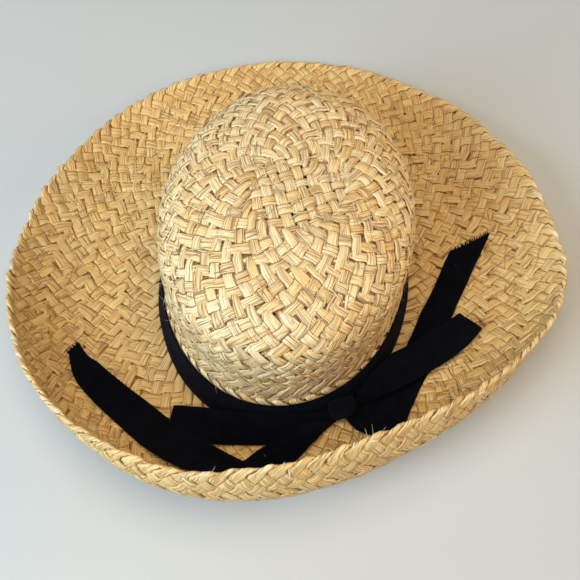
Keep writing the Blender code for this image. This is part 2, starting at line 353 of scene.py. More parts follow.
def fibre_group():
    """Raffia: fine fibres along the strand, with paler and browner ones, dark lines in between, and painted
    shade where the strands dip under and along their edges.
    """
    group = bpy.data.node_groups.new("raffia fibres", "ShaderNodeTree")
    face = group.interface
    face.new_socket("Strand", in_out="INPUT", socket_type="NodeSocketVector")
    face.new_socket("Tone", in_out="INPUT", socket_type="NodeSocketFloat")
    face.new_socket("Depth", in_out="INPUT", socket_type="NodeSocketFloat")
    for colour in ("Bleached", "Pale", "Middle", "Brown", "Dark"):
        face.new_socket(colour, in_out="INPUT", socket_type="NodeSocketColor")
    face.new_socket("Color", in_out="OUTPUT", socket_type="NodeSocketColor")
    face.new_socket("Height", in_out="OUTPUT", socket_type="NodeSocketFloat")
    face.new_socket("Roughness", in_out="OUTPUT", socket_type="NodeSocketFloat")
    nodes = group.nodes
    given = nodes.new("NodeGroupInput")
    put = nodes.new("NodeGroupOutput")

    def stretched(scale, detail, seed):
        moved = nodes.new("ShaderNodeVectorMath")
        moved.operation = "MULTIPLY_ADD"
        moved.inputs[1].default_value = scale
        moved.inputs[2].default_value = (seed, seed, seed)
        link(group, given.outputs["Strand"], moved.inputs[0])
        noise = nodes.new("ShaderNodeTexNoise")
        noise.inputs["Scale"].default_value = 1.0
        noise.inputs["Detail"].default_value = detail
        link(group, moved.outputs[0], noise.inputs["Vector"])
        return noise.outputs["Fac"]

    def ranged(source, low, high, start=0.0, end=1.0):
        made = nodes.new("ShaderNodeMapRange")
        made.interpolation_type = "SMOOTHSTEP"
        for name, value in (("From Min", low), ("From Max", high), ("To Min", start), ("To Max", end)):
            made.inputs[name].default_value = value
        link(group, source, made.inputs["Value"])
        return made.outputs["Result"]

    def mixed(share, first, second, kind="MIX"):
        made = nodes.new("ShaderNodeMix")
        made.data_type = "RGBA"
        made.blend_type = kind
        for value, socket in ((share, made.inputs[0]), (first, made.inputs[6]), (second, made.inputs[7])):
            if isinstance(value, bpy.types.NodeSocket):
                link(group, value, socket)
            else:
                socket.default_value = value
        return made.outputs[2]

    across = nodes.new("ShaderNodeSeparateXYZ")
    link(group, given.outputs["Strand"], across.inputs[0])
    side = nodes.new("ShaderNodeMath")
    side.operation = "ABSOLUTE"
    link(group, across.outputs["Y"], side.inputs[0])

    fibres = stretched((0.06, 6.0, 3.0), 2.0, 0.0)
    hairs = stretched((0.14, 13.0, 5.0), 2.0, 5.0)
    streaks = stretched((0.045, 2.6, 5.0), 3.0, 11.0)
    patches = stretched((0.13, 0.5, 2.0), 2.0, 23.0)
    toned = mixed(given.outputs["Tone"], given.outputs["Pale"], given.outputs["Middle"])
    faded = mixed(ranged(patches, 0.52, 0.70), toned, given.outputs["Pale"])
    # Tones below zero mix in the palest colour: slivers and hairs pale from bleaching, and the painted
    # highlight on the rim's outer folds.
    bleach_and_rim_highlight = mixed(ranged(given.outputs["Tone"], -0.7, 0.0, 0.9, 0.0), faded, given.outputs["Bleached"])
    browned = mixed(ranged(streaks, 0.54, 0.74), bleach_and_rim_highlight, given.outputs["Brown"])
    fine = mixed(ranged(hairs, 0.36, 0.56, 0.35, 0.0), browned, given.outputs["Brown"])
    lined = mixed(ranged(fibres, 0.38, 0.50, 0.80, 0.0), fine, given.outputs["Dark"])
    # Painted shade: the darkest colour where a strand lies low in the weave, under its neighbours.
    painted_dip_shade = mixed(ranged(given.outputs["Depth"], 0.08, 0.60, 0.80, 0.0), lined, given.outputs["Dark"])
    # Painted shade: darker towards each strand's edges, where it meets its neighbours.
    painted_edge_shade = mixed(ranged(side.outputs[0], 0.80, 1.0, 0.0, 0.55), painted_dip_shade, given.outputs["Dark"])
    link(group, painted_edge_shade, put.inputs["Color"])
    height = nodes.new("ShaderNodeMath")
    height.operation = "MULTIPLY_ADD"
    height.inputs[1].default_value = 0.35
    link(group, hairs, height.inputs[0])
    link(group, fibres, height.inputs[2])
    link(group, height.outputs[0], put.inputs["Height"])
    link(group, ranged(fibres, 0.3, 0.7, 0.62, 0.40), put.inputs["Roughness"])
    return group


FIBRES = fibre_group()


def raffia(name, bleach_and_rim_highlight, pale, middle, brown, dark):
    """Dried raffia straw in five of its colours; the darkest is also painted shade in the weave's dips and
    along the strands' edges, and the palest also a painted highlight on the rim's outer folds.
    """
    made = bpy.data.materials.new(name)
    made.use_nodes = True
    tree = made.node_tree
    shader = tree.nodes["Principled BSDF"]
    fibres = tree.nodes.new("ShaderNodeGroup")
    fibres.node_tree = FIBRES
    for socket, output in (("Strand", "Vector"), ("Tone", "Fac"), ("Depth", "Fac")):
        read = tree.nodes.new("ShaderNodeAttribute")
        read.attribute_name = socket.lower()
        link(tree, read.outputs[output], fibres.inputs[socket])
    for socket, colour in (("Bleached", bleach_and_rim_highlight), ("Pale", pale), ("Middle", middle), ("Brown", brown),
                           ("Dark", dark)):
        fibres.inputs[socket].default_value = (*colour, 1)
    bump = tree.nodes.new("ShaderNodeBump")
    bump.inputs["Strength"].default_value = 0.8
    bump.inputs["Distance"].default_value = 0.6 * MM
    link(tree, fibres.outputs["Color"], shader.inputs["Base Color"])
    link(tree, fibres.outputs["Roughness"], shader.inputs["Roughness"])
    link(tree, fibres.outputs["Height"], bump.inputs["Height"])
    link(tree, bump.outputs["Normal"], shader.inputs["Normal"])
    shader.inputs["Specular IOR Level"].default_value = 0.55
    return made


# The palest straw: slivers and hairs pale from bleaching, and the painted highlight along the rim.
BLEACH_AND_RIM_HIGHLIGHT = (0.90, 0.80, 0.56)
CROWN_RAFFIA = raffia("crown raffia", BLEACH_AND_RIM_HIGHLIGHT, (0.94, 0.755, 0.44), (0.86, 0.58, 0.24), (0.59, 0.31, 0.11),
                      (0.22, 0.09, 0.026))


def along_table(turns, edge, point, samples=240):
    """Angles turned and the length run at a plait's middle line, for an inner edge at edge(angle)."""
    angles = math.tau * np.linspace(0, turns, samples * turns + 1)
    line = point(angles, edge(angles) + PLAIT_WIDTH / 2, 0 * angles)
    steps = np.linalg.norm(np.diff(line, axis=0), axis=1)
    return angles, np.concatenate(([0], np.cumsum(steps)))


CROWN_FULLNESS = 1.12
# how far the sewn rows stray sideways, and up and down, in how many waves, with random draws of their own
ROW_STRAY = 0.75 * MM
ROW_HEAVE = 0.22 * MM
ROW_WAVES = 5
ROW_SEED = 500


def coil(name, turns, edge, point, sink, seed, ring=False, fullness=CROWN_FULLNESS, outer=SEWN_FOLDS,
         units=(0, 1)):
    """A plait whose inner edge runs at edge(angle) on a surface, sunk below it by sink(angle)."""
    angles, run = along_table(turns, edge, point)
    count = round(run[-1] / FOLD_STEP) if ring else int(run[-1] / FOLD_STEP) - STRANDS
    stretch = run[-1] / (count * FOLD_STEP) if ring else 1.0
    chance = np.random.default_rng(seed + ROW_SEED)

    def place(u, v, z):
        u = u * stretch
        angle = np.interp(u % run[-1] if ring else u, run, angles)
        stray = ROW_STRAY * smooth_noise(chance, ROW_WAVES, u, v)
        lift = z - sink(angle) + ROW_HEAVE * smooth_noise(chance, ROW_WAVES, u, v)
        return point(angle, edge(angle) + v + stray, lift)

    return plait_mesh(name, count, place, STRANDS, seed, ring, fullness, outer, units)


COIL_START = 13.0 * MM
LAST_ROW = CROWN_WAY - PLAIT_WIDTH
COIL_TURNS = int((LAST_ROW - COIL_START) / ROW_PITCH)
COIL_SPLIT = 0.6
# how deep the coil starts and the angle over which it rises, and how deep and how fast it ends
START_DEPTH = 2.6 * MM
START_ANGLE = 0.8
END_DEPTH = 1.3 * MM
END_RATE = 4


def coil_edge(angle):
    return COIL_START + ROW_PITCH * angle / math.tau


def coil_sink(angle):
    """The coil rises from under the patch at the tip and ends under the lowest row."""
    start = START_DEPTH * np.clip(1 - angle / START_ANGLE, 0, 1) ** 2
    under = (coil_edge(angle) + PLAIT_WIDTH - LAST_ROW) / PLAIT_WIDTH
    return start + END_DEPTH * np.clip(under * END_RATE, 0, 1)


for part, units, replaced in (("upper", (0, COIL_SPLIT), ("crown",)), ("lower", (COIL_SPLIT, 1), ())):
    coil_mesh = coil("crown_coil_" + part, COIL_TURNS, coil_edge, crown_point, coil_sink, seed=3, units=units)
    show("crown_coil_" + part, coil_mesh, CROWN_RAFFIA, replaced)

foot_mesh = coil("crown_foot_row", 1, lambda angle: LAST_ROW + 0 * angle, crown_point,
                 lambda angle: 0 * angle, seed=4, ring=True)
show("crown_foot_row", foot_mesh, CROWN_RAFFIA)


START_RADIUS = 44.0 * MM
START_SINK = 0.8 * MM
START_TURN = math.radians(20)
START_FULLNESS = 0.97
# how many times a strand's place and width change along it, and the steps between the patch's strands
# in the fibres' pattern
START_CHANGES = (9, 12)
START_SHIFT = (53.0, 2.3)


def woven_patch(name, radius, seed):
    """The woven start of the crown: strands laid both ways, over one and under one, round the tip."""
    chance = np.random.default_rng(seed)
    reach = int(radius / STRAND_WIDTH)
    spots, quads, caps, strands, tones, depths = [], [], [], [], [], []
    used = 0

    def uneven(run, low_high, changes):
        return np.interp(run, np.linspace(run[0], run[-1], changes), chance.uniform(*low_high, changes))

    for way in (0, 1):
        for line in range(-reach, reach + 1):
            half = math.sqrt(radius**2 - (line * STRAND_WIDTH) ** 2)
            count = 2 * max(int(half / STRAND_WIDTH * 4), 4) + 1
            run = np.linspace(-half, half, count)
            ahead = run[:, None] + 0 * SECTION_X
            level = np.cos(np.pi * ahead / STRAND_WIDTH) * (-1) ** (line + way)
            wobble = uneven(run, UNEVEN_SHIFT[0], START_CHANGES[0]) * MM
            width = START_FULLNESS + uneven(run, UNEVEN_WIDTH[0], START_CHANGES[1])
            lift = level * STRAND_RISE + SECTION_SIDE * (SECTION_LENS + SECTION_RIDGE * FIBRE_RIDGE)
            beside = line * STRAND_WIDTH + wobble[:, None] + SECTION_X * (width * STRAND_WIDTH / 2)[:, None]
            x, y = (ahead, beside) if way else (-beside, ahead)
            x, y = (x * math.cos(START_TURN) - y * math.sin(START_TURN),
                    x * math.sin(START_TURN) + y * math.cos(START_TURN))
            spots.append(crown_point(np.arctan2(y, x), np.hypot(x, y), lift - START_SINK).reshape(-1, 3))
            corner = used + np.arange(count * len(SECTION_X)).reshape(count, -1)
            used += corner.size
            near, far = corner[:-1], corner[1:]
            sides = np.stack((near, np.roll(near, -1, axis=1), np.roll(far, -1, axis=1), far), axis=-1)
            quads.append(sides.reshape(-1, 4))
            caps.append(np.stack((corner[0], corner[-1, ::-1])))
            strand = np.stack((
                ahead / MM + START_SHIFT[0] * line,
                SECTION_X + 0 * ahead,
                START_SHIFT[1] * line + way + 0 * ahead,
            ), axis=-1)
            strands.append(strand.reshape(-1, 3))
            tones.append(np.full(corner.size, chance.uniform(0, 1)))
            # How low each point lies; the material darkens the low points as painted shade.
            depths.append((level * SECTION_SIDE * 0.5 + 0.5).ravel())
    return strand_mesh(name, *(np.concatenate(part) for part in (spots, quads, caps, strands, tones, depths)))


show("crown_start", woven_patch("crown_start", START_RADIUS, seed=8), CROWN_RAFFIA)


# Brim
# Four rows of the same plait, sewn where their edges lap, round the foot of the crown.
# It leaves the crown flat and curls up towards the rim, by an amount that changes round the hat.

BRIM_WIDTH = 101.5 * MM
BRIM_OFFSET = np.array((4.5, -8.0)) * MM
FAR_DRAWN_IN = 4.4 * MM
FAR_RATE = 0.9
BRIM_FLAT = 4.0 * MM
SLOPE_STEPS = 24
# slope of the rim in degrees and the power of the curl, every 30 degrees from +X
BRIM_TURN = np.array((
    (56, 1.50),
    (40, 1.15),
    (13, 1.45),
    (3, 1.60),
    (14, 1.60),
    (28, 1.40),
    (37, 1.60),
    (77, 2.00),
    (105, 1.50),
    (112, 0.95),
    (110, 0.90),
    (99, 1.35),
))
BRIM_ROWS = 4
BRIM_FULLNESS = 1.20
# The rim's outer folds: taper, swell, share of painted highlight along the rim, and twist.
RIM_FOLDS = (0.15, 0.8, 0.55, 3.4 * MM)
# share of the way over the last row: as plaited, and as drawn in along the rim
RIM_DRAWN_IN = ((-0.3, 0.0, 0.8, 1.0, 1.3), (-0.3, 0.0, 0.885, 1.0, 1.3))


def round_the_hat(column, azimuth):
    """Value of a column of BRIM_TURN at an azimuth in radians."""
    count = len(BRIM_TURN)
    place = azimuth / math.tau % 1.0 * count
    index = place.astype(int)
    share = place - index
    before, start, end, after = (BRIM_TURN[(index + step) % count, column] for step in (-1, 0, 1, 2))
    return smooth_between(before, start, end, after, share)


def brim_width(azimuth):
    """Way out from the crown's foot to the rim, which is drawn in a little round the far side."""
    far = np.clip(0.5 + FAR_RATE * np.sin(azimuth), 0, 1)
    drawn_in = FAR_DRAWN_IN * far**2 * (3 - 2 * far)
    return BRIM_WIDTH + BRIM_OFFSET[0] * np.cos(azimuth) + BRIM_OFFSET[1] * np.sin(azimuth) - drawn_in


def brim_point(azimuth, out, lift):
    """Points out from the crown's foot along the straw, raised by lift from the brim's underside."""
    rim_slope = np.radians(round_the_hat(0, azimuth))
    power = round_the_hat(1, azimuth)
    turning = brim_width(azimuth) - BRIM_FLAT

    def slope(distance):
        return rim_slope * np.clip((distance - BRIM_FLAT) / turning, 0, None) ** power

    radius = foot_radius(azimuth)
    height = np.zeros(radius.shape)
    step = out / SLOPE_STEPS
    for index in range(SLOPE_STEPS):
        middle = slope((index + 0.5) * step)
        radius = radius + np.cos(middle) * step
        height = height + np.sin(middle) * step
    end = slope(out)
    radius = radius - np.sin(end) * lift
    height = height + np.cos(end) * lift
    return np.stack((radius * np.cos(azimuth), radius * np.sin(azimuth), height), axis=-1)


BRIM_START = -1.0 * MM
# The brim's pale, middle and brown straw is darker and more orange than the crown's: painted shade over the
# same plait.
BRIM_RAFFIA = raffia("brim raffia", BLEACH_AND_RIM_HIGHLIGHT, (0.84, 0.585, 0.245), (0.76, 0.460, 0.155), (0.55, 0.28, 0.08),
                     (0.34, 0.155, 0.047))

for row in range(BRIM_ROWS):
    def brim_row_point(angle, across, lift, row=row):
        pitch = (brim_width(angle) - BRIM_START - ROW_LAP) / BRIM_ROWS
        share = across / PLAIT_WIDTH
        if row == BRIM_ROWS - 1:
            share = np.interp(share, *RIM_DRAWN_IN)
        return brim_point(angle, BRIM_START + pitch * row + (pitch + ROW_LAP) * share, lift + WALL / 2)

    outer = RIM_FOLDS if row == BRIM_ROWS - 1 else SEWN_FOLDS
    row_mesh = coil(f"brim_row_{row + 1}", 1, lambda angle: 0 * angle, brim_row_point,
                    lambda angle: 0 * angle, seed=20 + row, ring=True, fullness=BRIM_FULLNESS, outer=outer)
    show(f"brim_row_{row + 1}", row_mesh, BRIM_RAFFIA, ("brim",) if row == 0 else ())


# Loose fibres
# Fine ends of raffia that have worked loose from the plait.
# Slivers lie over the straw, and hairs curl off it, stand out at the rim and hang over the band.


FIBRE_POINTS = 8
# spread of the curl in radians for each millimetre
FIBRE_CURL = 0.05
FIBRE_BOW = 0.25 * MM
FIBRE_TAPER = 0.75
# height of the middle ridge as a share of the half width
FIBRE_ROOF = 0.9
# how late along its length a fibre lifts off the straw
RISE_POWER = 1.7
# how much of the strands' pattern a fibre takes on each side of its middle
FIBRE_SHARE = 0.4
# small turn in radians over which the way round the hat is measured
TURN_STEP = 0.01


def loose_fibres(name, point, count, way, heading, length, width, rise, lift, paleness, seed):
    """Thin tapering slivers from random places; each pair of numbers is a lowest and a highest value.

    heading is in degrees from the way round the hat, and rise is how far the free end stands off the
    straw. Lengths are in millimetres.
    """
    chance = np.random.default_rng(seed)

    def pick(low_high):
        return chance.uniform(*low_high, count)[:, None]

    turned = np.radians(pick((0, 360)))
    start = np.sqrt(pick((way[0]**2, way[1]**2))) * MM
    side = np.where(chance.uniform(size=(count, 1)) < 0.5, 1, -1)
    facing = np.radians(pick(heading)) * side
    curl = chance.normal(0, FIBRE_CURL, (count, 1)) / MM
    reach = pick(length) * MM
    share = np.linspace(0, 1, FIBRE_POINTS)[None, :]
    run = share * reach
    facing = facing + curl * run
    step = np.diff(run, axis=1, prepend=0)
    round_it = np.cumsum(np.cos(facing) * step, axis=1)
    down_it = np.cumsum(np.sin(facing) * step, axis=1)
    near = point(turned, start, 0 * start)
    radius = np.linalg.norm(point(turned + TURN_STEP, start, 0 * start) - near, axis=-1) / TURN_STEP
    above = lift * MM + pick(rise) * MM * share**RISE_POWER + FIBRE_BOW * np.sin(math.pi * share)
    half = pick(width) * MM / 2 * (1 - FIBRE_TAPER * share**2)
    offsets = np.array((-1, 1, 0))
    raised = np.array((0, 0, FIBRE_ROOF))
    round_it = round_it[..., None] - np.sin(facing)[..., None] * half[..., None] * offsets
    down_it = down_it[..., None] + np.cos(facing)[..., None] * half[..., None] * offsets
    up = above[..., None] + half[..., None] * raised
    points = point(turned[..., None] + round_it / radius[..., None], start[..., None] + down_it, up)
    corner = np.arange(points[..., 0].size).reshape(count, -1, 3)
    sides = [np.roll(corner, -1, axis=2)[:, :-1], np.roll(corner, -1, axis=2)[:, 1:]]
    quads = np.stack((corner[:, :-1], sides[0], sides[1], corner[:, 1:]), axis=-1).reshape(-1, 4)
    mesh = bpy.data.meshes.new(name)
    faces = quads.tolist() + corner[:, 0, ::-1].tolist() + corner[:, -1].tolist()
    mesh.from_pydata(points.reshape(-1, 3).tolist(), [], faces)
    mesh.shade_smooth()
    strand = np.zeros(points.shape)
    strand[..., 0] = (run / MM + STRAND_SHIFT[0] * np.arange(count)[:, None])[..., None]
    strand[..., 1] = offsets * FIBRE_SHARE
    mark(mesh, "strand", strand, vector=True)
    mark(mesh, "tone", chance.uniform(*paleness, (count, 1, 1)) + np.zeros(corner.shape))
    mark(mesh, "depth", np.ones(corner.shape))
    return mesh


def upper_brim(azimuth, out, lift):
    """Points over the middle of the brim's wall, where out is BRIM_WIDTH at the rim all round."""
    return brim_point(azimuth, out * brim_width(azimuth) / BRIM_WIDTH, WALL / 2 + lift)


def lower_brim(azimuth, out, lift):
    return upper_brim(azimuth, out, -lift)


LOOSE_RAFFIA = raffia("loose raffia", (0.93, 0.81, 0.57), (0.93, 0.79, 0.52), (0.90, 0.72, 0.44),
                      (0.86, 0.66, 0.38), (0.78, 0.58, 0.33))
STRAW_TONES = (-0.3, 0.7)
HAIR_TONES = (-1.2, -0.2)
RIM_TONES = (-1.4, -0.6)
for name, point, material, count, way, heading, length, width, rise, lift, tones, seed in (
    ("crown_slivers", crown_point, CROWN_RAFFIA, 640, (8, 124), (25, 65), (6, 13), (0.5, 1.1),
     (0.0, 0.5), 1.0, STRAW_TONES, 70),
    ("crown_hairs", crown_point, LOOSE_RAFFIA, 150, (5, 148), (0, 180), (4, 12), (0.18, 0.32),
     (1.0, 5.5), 0.6, HAIR_TONES, 71),
    ("band_hairs", crown_point, LOOSE_RAFFIA, 40, (134, 141), (50, 130), (5, 10), (0.25, 0.42),
     (1.6, 4.0), 1.0, HAIR_TONES, 72),
    ("brim_slivers", upper_brim, BRIM_RAFFIA, 1000, (6, 88), (25, 65), (6, 13), (0.5, 1.1),
     (0.0, 0.5), 1.0, STRAW_TONES, 73),
    ("brim_under_slivers", lower_brim, BRIM_RAFFIA, 560, (6, 88), (25, 65), (6, 13), (0.5, 1.1),
     (0.0, 0.3), 1.0, STRAW_TONES, 74),
    ("brim_hairs", upper_brim, LOOSE_RAFFIA, 110, (22, 94), (0, 180), (4, 11), (0.18, 0.32),
     (1.0, 4.5), 0.6, HAIR_TONES, 75),
    ("rim_hairs", upper_brim, LOOSE_RAFFIA, 70, (99, 102), (-20, 120), (3, 8), (0.22, 0.36),
     (-4.0, 4.0), 0.0, RIM_TONES, 76),
    ("rim_ends", lower_brim, LOOSE_RAFFIA, 26, (98, 101), (20, 80), (4, 8), (0.9, 1.6),
     (-2.0, 3.0), 0.4, RIM_TONES, 77),
):
    mesh = loose_fibres(name, point, count, way, heading, length, width, rise, lift, tones, seed)
    show(name, mesh, material)


# Hat band
# A dark matte ribbon, wound once round the foot of the crown, with its ends under the bow's knot.

RIBBON_WIDTH = 23.2 * MM
BAND_LOW = 4.0 * MM
BAND_OFF = 1.0 * MM
CLOTH = 0.55 * MM
WRINKLE = 0.10 * MM
WRINKLE_WAVES = 6


def cloth_mesh(name, points, run, across, closed, seed):
    """A sheet of ribbon through a grid of points, as a thin closed body with soft wrinkles."""
    chance = np.random.default_rng(seed)
    before = np.roll(points, 1, axis=0)
    after = np.roll(points, -1, axis=0)
    if not closed:
        before[0], after[-1] = points[0], points[-1]
    left = np.concatenate((points[:, :1], points[:, :-1]), axis=1)
    right = np.concatenate((points[:, 1:], points[:, -1:]), axis=1)
    normal = np.cross(after - before, right - left)
    normal = normal / np.maximum(np.linalg.norm(normal, axis=-1, keepdims=True), 1e-12)
    wave = WRINKLE * smooth_noise(chance, WRINKLE_WAVES, run, across)
    middle = points + normal * wave[..., None]
    faces = np.stack((middle + normal * CLOTH / 2, middle - normal * CLOTH / 2))
    rows, columns = run.shape
    index = np.arange(2 * rows * columns).reshape(2, rows, columns)
    if closed:
        index = np.concatenate((index, index[:, :1]), axis=1)
    front, rear = index
    quads = [
        np.stack((front[:-1, :-1], front[1:, :-1], front[1:, 1:], front[:-1, 1:]), axis=-1),
        np.stack((rear[:-1, :-1], rear[:-1, 1:], rear[1:, 1:], rear[1:, :-1]), axis=-1),
        np.stack((front[:-1, 0], rear[:-1, 0], rear[1:, 0], front[1:, 0]), axis=-1),
        np.stack((front[:-1, -1], front[1:, -1], rear[1:, -1], rear[:-1, -1]), axis=-1),
    ]
    if not closed:
        quads.append(np.stack((front[0, :-1], front[0, 1:], rear[0, 1:], rear[0, :-1]), axis=-1))
        quads.append(np.stack((front[-1, :-1], rear[-1, :-1], rear[-1, 1:], front[-1, 1:]), axis=-1))
    quads = np.concatenate([part.reshape(-1, 4) for part in quads])
    mesh = bpy.data.meshes.new(name)
    mesh.from_pydata(faces.reshape(-1, 3).tolist(), [], quads.tolist())
    mesh.shade_smooth()
    threads = np.stack((run, across, 0 * run), axis=-1) / MM
    mark(mesh, "threads", np.stack((threads, threads)), vector=True)
    return mesh


def ribbon_look():
    """Near-black ribbon: a fine plain weave that is all but matte, with a bluish bloom at a low angle."""
    made = bpy.data.materials.new("dark ribbon")
    made.use_nodes = True
    tree = made.node_tree
    nodes = tree.nodes
    shader = nodes["Principled BSDF"]
    threads = nodes.new("ShaderNodeAttribute")
    threads.attribute_name = "threads"
    waves = []
    # thread pitches in millimetres; the bands of a wave texture are tau / 20 apart at a scale of 1
    for direction, pitch in (("X", 0.55), ("Y", 0.42)):
        wave = nodes.new("ShaderNodeTexWave")
        wave.bands_direction = direction
        wave.inputs["Scale"].default_value = math.tau / 20 / pitch
        wave.inputs["Distortion"].default_value = 0.6
        wave.inputs["Detail"].default_value = 1.0
        link(tree, threads.outputs["Vector"], wave.inputs["Vector"])
        waves.append(wave.outputs["Fac"])
    weave = nodes.new("ShaderNodeMath")
    weave.operation = "MULTIPLY"
    link(tree, waves[0], weave.inputs[0])
    link(tree, waves[1], weave.inputs[1])
    worn = nodes.new("ShaderNodeTexNoise")
    worn.inputs["Scale"].default_value = 0.12
    worn.inputs["Detail"].default_value = 5.0
    link(tree, threads.outputs["Vector"], worn.inputs["Vector"])
    ramp = nodes.new("ShaderNodeValToRGB")
    ramp.color_ramp.elements[0].color = (0.0009, 0.0010, 0.0016, 1)
    ramp.color_ramp.elements[1].color = (0.0024, 0.0028, 0.0060, 1)
    ramp.color_ramp.elements[0].position = 0.3
    ramp.color_ramp.elements[1].position = 0.75
    link(tree, worn.outputs["Fac"], ramp.inputs["Fac"])
    bump = nodes.new("ShaderNodeBump")
    bump.inputs["Strength"].default_value = 0.35
    bump.inputs["Distance"].default_value = 0.15 * MM
    link(tree, weave.outputs[0], bump.inputs["Height"])
    link(tree, ramp.outputs["Color"], shader.inputs["Base Color"])
    link(tree, bump.outputs["Normal"], shader.inputs["Normal"])
    shader.inputs["Roughness"].default_value = 0.92
    shader.inputs["Specular IOR Level"].default_value = 0.05
    shader.inputs["Sheen Weight"].default_value = 0.02
    shader.inputs["Sheen Roughness"].default_value = 0.6
    shader.inputs["Sheen Tint"].default_value = (0.55, 0.65, 1.0, 1)
    return made


RIBBON = ribbon_look()


def band_points(azimuth, up):
    share = (BAND_LOW + up) / CROWN_HEIGHT
    radius = np.interp(-share, -PROFILE[:, 0], PROFILE[:, 1]) * foot_radius(azimuth) + BAND_OFF
    x = radius * np.cos(azimuth) + CROWN_LEAN[0] * share
    y = radius * np.sin(azimuth) + CROWN_LEAN[1] * share
    return np.stack((x, y, share * CROWN_HEIGHT), axis=-1)


BAND_STEPS = 240
BAND_ACROSS = 10
BAND_RADIUS = 94.0 * MM
band_angle, band_up = np.meshgrid(np.linspace(0, math.tau, BAND_STEPS, endpoint=False),
                                  np.linspace(0, RIBBON_WIDTH, BAND_ACROSS), indexing="ij")
band_mesh = cloth_mesh("band", band_points(band_angle, band_up), band_angle * BAND_RADIUS, band_up,
                       closed=True, seed=40)
band = show("band", band_mesh, RIBBON, ("hat_band",))


# Bow
# Two flattened loops and two long tails of the same ribbon, tied over the band on the near side.
# The ribbon is folded, not sewn, and its diagonal cut ends are left raw and fray.

# Each row joins the ribbon's two edges: azimuth in degrees, distance out from the crown's foot along
# the brim and height above the brim's underside in millimetres, for one edge and the other.
LOOP_LEFT = (
    (287.6, 4.2, 18.0, 287.5, 5.2, 12.6),
    (284.0, 1.6, 20.2, 284.0, 5.6, 9.6),
    (278.8, -0.4, 21.5, 278.6, 8.4, 6.0),
    (271.4, -2.2, 23.0, 270.7, 9.9, 4.2),
    (260.2, -1.2, 19.5, 260.7, 14.1, 4.2),
    (249.1, 3.8, 14.0, 252.0, 22.5, 5.2),
    (241.7, 11.1, 8.8, 246.0, 30.1, 6.0),
    (238.9, 15.0, 7.0, 243.3, 33.4, 6.0),
    (238.2, 15.8, 5.3, 242.6, 34.2, 4.8),
    (239.3, 14.8, 3.7, 243.6, 32.8, 3.6),
    (244.0, 9.0, 5.2, 247.5, 25.5, 3.6),
    (252.5, 2.2, 11.0, 254.0, 14.0, 3.6),
    (262.0, -0.9, 16.0, 262.5, 5.4, 3.6),
    (272.0, -1.5, 18.0, 272.0, 3.4, 3.6),
    (280.0, -1.2, 18.0, 280.0, 3.0, 4.4),
    (287.6, 1.4, 17.4, 287.6, 2.2, 12.6),
)
TAIL_LEFT = (
    (287.6, 8.2, 13.0, 289.6, 6.4, 7.2),
    (282.6, 6.6, 18.6, 287.0, 8.0, 6.4),
    (278.6, 6.8, 19.4, 286.0, 8.8, 6.2),
    (273.8, 6.8, 16.0, 284.0, 10.2, 5.4),
    (269.0, 12.9, 9.6, 279.9, 16.2, 4.5),
    (265.5, 17.4, 5.4, 275.8, 24.7, 3.8),
    (262.2, 27.0, 4.1, 273.4, 30.5, 3.9),
    (257.6, 41.5, 4.0, 271.6, 36.0, 4.0),
    (255.8, 48.5, 4.1, 270.9, 38.6, 4.1),
    (255.4, 49.8, 5.0, 270.6, 39.8, 5.0),
    (254.9, 49.2, 6.0, 269.4, 37.4, 6.0),
    (253.4, 49.0, 6.1, 266.0, 32.0, 6.2),
    (252.0, 49.0, 6.0, 262.3, 27.6, 6.9),
    (249.8, 49.6, 5.6, 256.9, 24.6, 8.2),
    (246.6, 49.8, 5.2, 251.9, 23.6, 9.4),
    (243.6, 50.2, 4.8, 246.6, 24.3, 9.8),
    (240.2, 50.6, 4.3, 240.8, 25.5, 9.2),
    (233.2, 52.1, 4.0, 232.1, 27.1, 5.0),
    (227.3, 55.4, 4.0, 222.3, 35.0, 3.9),
    (221.1, 60.0, 4.0, 214.3, 44.0, 3.9),
    (215.5, 63.2, 3.9, 210.8, 50.0, 3.9),
    (208.8, 61.7, 3.9, 206.6, 53.9, 3.9),
)
LOOP_RIGHT = (
    (295.4, 4.2, 19.6, 295.4, 5.2, 14.4),
    (299.0, 2.6, 21.6, 298.4, 8.0, 11.9),
    (303.8, 1.4, 22.0, 301.6, 10.7, 10.9),
    (310.0, 0.9, 21.0, 306.8, 15.4, 10.4),
    (318.6, 2.6, 18.5, 314.6, 22.5, 10.5),
    (325.6, 8.3, 15.0, 323.1, 30.1, 9.0),
    (336.7, 19.6, 12.0, 329.4, 37.5, 8.2),
    (344.4, 30.3, 9.8, 337.1, 45.9, 7.4),
    (347.7, 34.7, 7.8, 343.1, 51.5, 7.0),
    (348.3, 35.4, 6.5, 343.8, 52.3, 6.1),
    (347.3, 34.0, 5.2, 342.8, 50.6, 5.2),
    (343.6, 28.8, 5.4, 336.4, 44.0, 5.4),
    (335.0, 17.5, 6.0, 328.6, 34.0, 5.4),
    (325.0, 6.4, 8.5, 321.6, 25.0, 5.6),
    (317.4, 1.4, 13.0, 314.5, 14.5, 7.6),
    (309.0, -0.3, 17.5, 307.6, 6.4, 10.6),
    (302.0, -0.7, 19.0, 301.4, 3.4, 12.6),
    (295.4, 1.4, 19.0, 295.4, 2.2, 14.2),
)
